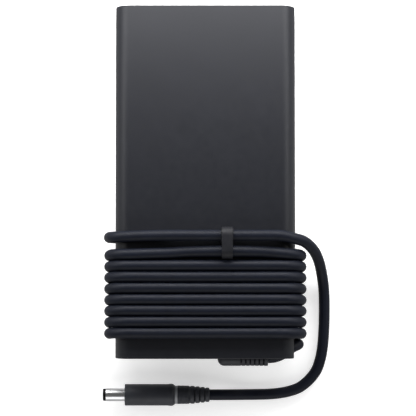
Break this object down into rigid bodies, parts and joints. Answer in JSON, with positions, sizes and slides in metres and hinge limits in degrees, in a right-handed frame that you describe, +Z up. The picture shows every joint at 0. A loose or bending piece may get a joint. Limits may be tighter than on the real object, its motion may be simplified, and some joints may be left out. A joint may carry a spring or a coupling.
{
  "type": "laptop power adapter",
  "caption": "Slim flat laptop power adapter: a brick with rounded long sides, an output cord wound round it with a rubber tie, and a round barrel plug.",
  "frame": {"origin": "on the surface that the adapter lies on, under the middle of the brick", "axes": "+Y along the brick, from its cord end to its inlet end; +X across its width, towards the side that the free cord runs along; +Z up. The brick leans 2.7 degrees about X, because its cord end rests on the winding."},
  "size_m": [0.131, 0.2294, 0.0421],
  "materials": {
    "shell_plastic": "fine satin moulded grain",
    "blank_plate": "smooth matt film, blank",
    "inlet_plastic": "moulded",
    "blade_metal": "nickel plated",
    "wire_insulation": "smooth",
    "circuit_board": "solder mask",
    "ceramic": "glazed",
    "blue_coating": "dipped",
    "dark_coating": "dipped",
    "yellow_case": "moulded",
    "choke_core": "coated core",
    "copper_wire": "enamelled",
    "ferrite": "ground ferrite",
    "yellow_tape": "polyester tape",
    "bobbin_plastic": "moulded",
    "black_epoxy": "moulded",
    "aluminium": "rolled sheet",
    "capacitor_sleeve": "shrink sleeve",
    "red_case": "moulded",
    "white_epoxy": "moulded",
    "pad": "soft silicone",
    "insulating_sheet": "pressed sheet",
    "relief_rubber": "satin moulded",
    "cord_jacket": "satin extruded",
    "tie_rubber": "matt moulded",
    "grip_rubber": "satin moulded",
    "light_ring": "frosted, unlit",
    "barrel_metal": "polished nickel",
    "barrel_plastic": "moulded",
    "contact_metal": "plated"
  },
  "bodies": {
    "root": {"upper_shell": "shell_plastic", "lower_shell": "shell_plastic", "rating_plate": "blank_plate", "inlet_housing": "inlet_plastic", "inlet_pin_line": "blade_metal", "inlet_pin_neutral": "blade_metal", "inlet_pin_earth": "blade_metal", "inlet_leads": "wire_insulation", "main_board": "circuit_board", "input_fuse": "ceramic", "surge_varistor": "blue_coating", "inrush_thermistor": "dark_coating", "x_capacitor": "yellow_case", "y_capacitors": "blue_coating", "line_choke_core": "choke_core", "line_choke_winding": "copper_wire", "filter_choke_core": "choke_core", "filter_choke_winding": "copper_wire", "bridge_rectifier": "black_epoxy", "boost_choke_core": "ferrite", "boost_choke_winding": "yellow_tape", "primary_heatsink": "aluminium", "boost_transistor": "black_epoxy", "boost_diode": "black_epoxy", "bulk_capacitor_left": "capacitor_sleeve", "bulk_capacitor_right": "capacitor_sleeve", "transformer_core": "ferrite", "transformer_bobbin": "bobbin_plastic", "transformer_winding": "yellow_tape", "resonant_capacitor": "red_case", "switch_transistors": "black_epoxy", "secondary_heatsink": "aluminium", "output_rectifiers": "black_epoxy", "output_capacitors": "capacitor_sleeve", "output_choke": "copper_wire", "optocoupler": "white_epoxy", "control_chips": "black_epoxy", "thermal_pad": "pad", "upper_insulator": "insulating_sheet", "upper_shield": "aluminium", "lower_insulator": "insulating_sheet", "lower_shield": "aluminium", "output_leads": "wire_insulation", "cord_strain_relief": "relief_rubber", "cord_lead": "cord_jacket", "cord_winding": "cord_jacket", "cord_run": "cord_jacket", "plug_grip": "grip_rubber", "plug_light_ring": "light_ring", "plug_boot": "grip_rubber", "plug_leads": "copper_wire", "light_board": "circuit_board", "barrel_sleeve": "barrel_metal", "barrel_tip": "barrel_plastic", "barrel_insulator": "barrel_plastic", "contact_sleeve": "contact_metal", "contact_carrier": "barrel_plastic", "centre_pin": "blade_metal"},
    "tie_ring": {"tie_ring": "tie_rubber"},
    "tie_strap": {"tie_strap": "tie_rubber"}
  },
  "joints": [
    {"name": "tie_slide", "type": "slide", "parent": "root", "child": "tie_ring", "axis": [1, 0, 0], "range_m": [-0.012, 0.012]},
    {"name": "tie_swing", "type": "hinge", "parent": "tie_ring", "child": "tie_strap", "pos_m": [0.0123, -0.02961, 0.03682], "axis": [-1, 0, 0], "range_deg": [0, 170]}
  ]
}
